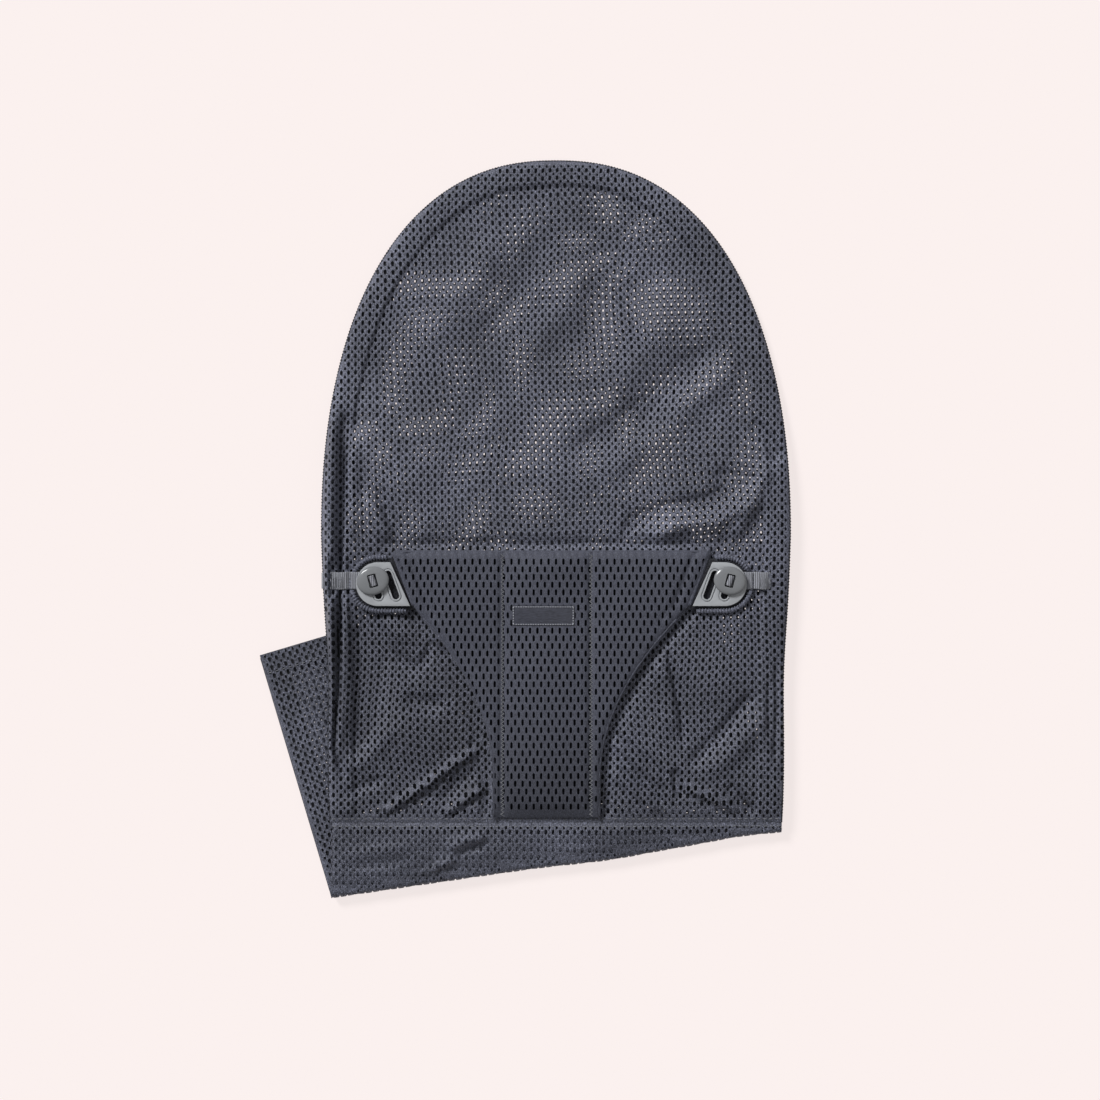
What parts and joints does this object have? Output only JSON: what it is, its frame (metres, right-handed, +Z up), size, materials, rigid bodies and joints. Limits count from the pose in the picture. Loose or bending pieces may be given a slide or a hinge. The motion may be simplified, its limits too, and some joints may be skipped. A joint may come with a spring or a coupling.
{
  "type": "bouncer seat",
  "caption": "Removable mesh fabric bouncer seat with a rounded head end, a padded restraint held by side plates and buttons, and a leg panel folded beneath.",
  "frame": {"origin": "middle of the folded seat's outline, on the surface it lies on", "axes": "+X to the right as the seat is looked at from its front, +Y to the head end, +Z up out of the lying face"},
  "size_m": [0.4606, 0.6379, 0.0252],
  "materials": {
    "mesh_fabric": "open knitted mesh, dark blue-grey",
    "spacer_fabric": "thick spacer mesh with tall slots, dark grey",
    "label_satin": "satin woven, blank",
    "plate_plastic": "satin moulded, light grey",
    "button_plastic": "semi-gloss moulded, grey",
    "strap_webbing": "ribbed woven webbing, grey"
  },
  "bodies": {
    "seat": {"front_panel": "mesh_fabric", "back_panel": "mesh_fabric", "rim_band": "mesh_fabric", "cross_seam_tape": "mesh_fabric", "strip_front": "mesh_fabric", "strip_back": "mesh_fabric", "strap_anchor_left": "strap_webbing", "strap_anchor_right": "strap_webbing"},
    "leg_panel": {"leg_front": "mesh_fabric", "leg_back": "mesh_fabric", "leg_hem_front": "mesh_fabric", "leg_hem_back": "mesh_fabric", "leg_seam_left": "mesh_fabric", "leg_seam_right": "mesh_fabric"},
    "harness": {"harness_lining": "spacer_fabric", "harness_centre": "spacer_fabric", "harness_left": "spacer_fabric", "harness_right": "spacer_fabric", "harness_seam_left": "spacer_fabric", "harness_seam_right": "spacer_fabric", "wing_binding_left": "spacer_fabric", "wing_binding_right": "spacer_fabric", "label_patch": "label_satin", "backing_left": "spacer_fabric", "backing_right": "spacer_fabric", "plate_left": "plate_plastic", "plate_right": "plate_plastic"},
    "button_left": {"button_left": "button_plastic", "strap_loop_left": "strap_webbing"},
    "button_right": {"button_right": "button_plastic", "strap_loop_right": "strap_webbing"},
    "strap_left": {"strap_left": "strap_webbing"},
    "strap_right": {"strap_right": "strap_webbing"}
  },
  "joints": [
    {"name": "leg_fold", "type": "hinge", "parent": "seat", "child": "leg_panel", "pos_m": [0.02729, -0.29058, 0.0074], "axis": [-0.9895, -0.1444, 0], "range_deg": [0, 180]},
    {"name": "harness_lift", "type": "hinge", "parent": "seat", "child": "harness", "pos_m": [0.02329, -0.25088, 0.0153], "axis": [1, 0, 0], "range_deg": [0, 2]},
    {"name": "button_left_slide", "type": "slide", "parent": "harness", "child": "button_left", "axis": [-0.342, 0.9397, 0], "range_m": [-0.0028, 0.0028]},
    {"name": "button_right_slide", "type": "slide", "parent": "harness", "child": "button_right", "axis": [0.342, 0.9397, 0], "range_m": [-0.0028, 0.0028]},
    {"name": "strap_left_swing", "type": "hinge", "parent": "seat", "child": "strap_left", "pos_m": [-0.16971, -0.0456, 0.0173], "axis": [0, -1, 0], "range_deg": [0, 21.75]},
    {"name": "strap_right_swing", "type": "hinge", "parent": "seat", "child": "strap_right", "pos_m": [0.21629, -0.0456, 0.0173], "axis": [0, 1, 0], "range_deg": [0, 21.75]}
  ],
  "couplings": [
    {"joint": "strap_left_swing", "follows": "harness_lift", "ratio": 10.777},
    {"joint": "strap_right_swing", "follows": "harness_lift", "ratio": 10.777}
  ]
}
